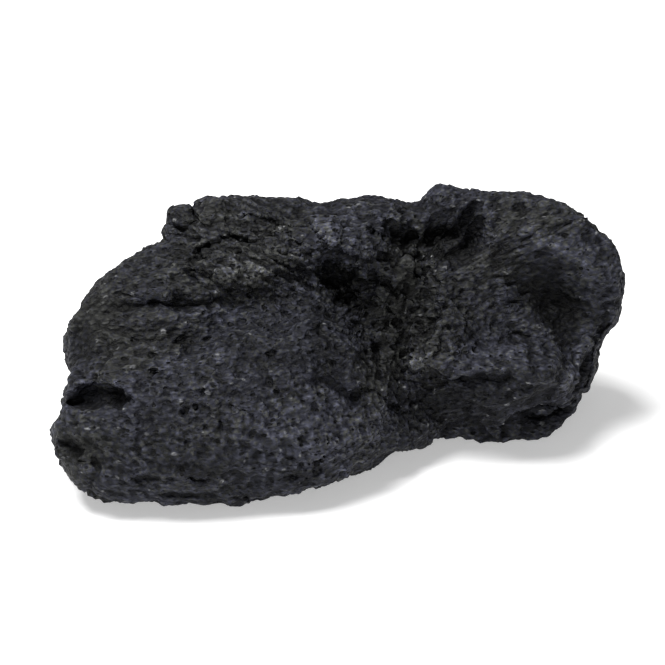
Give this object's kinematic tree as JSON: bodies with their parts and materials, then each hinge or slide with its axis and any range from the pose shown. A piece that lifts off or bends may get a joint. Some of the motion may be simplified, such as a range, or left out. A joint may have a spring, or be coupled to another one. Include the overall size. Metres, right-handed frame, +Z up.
{
  "type": "lava rock",
  "caption": "Black vesicular lava rock, long and lobed, with a folded crust, deep hollows and a worn flat base.",
  "frame": {"origin": "bottom centre of the bounding box, on the plane that the stone rests on", "axes": "+X along the stone's length, towards its taller end; -Y is the front face with the valley and the gas hole; +Z up"},
  "size_m": [0.254, 0.1582, 0.1094],
  "materials": {
    "black_basalt": "matte vesicular black basalt, blue-grey on the pitted skin and brown-grey in the hollows"
  },
  "bodies": {
    "root": {"lava_rock": "black_basalt"}
  },
  "joints": []
}
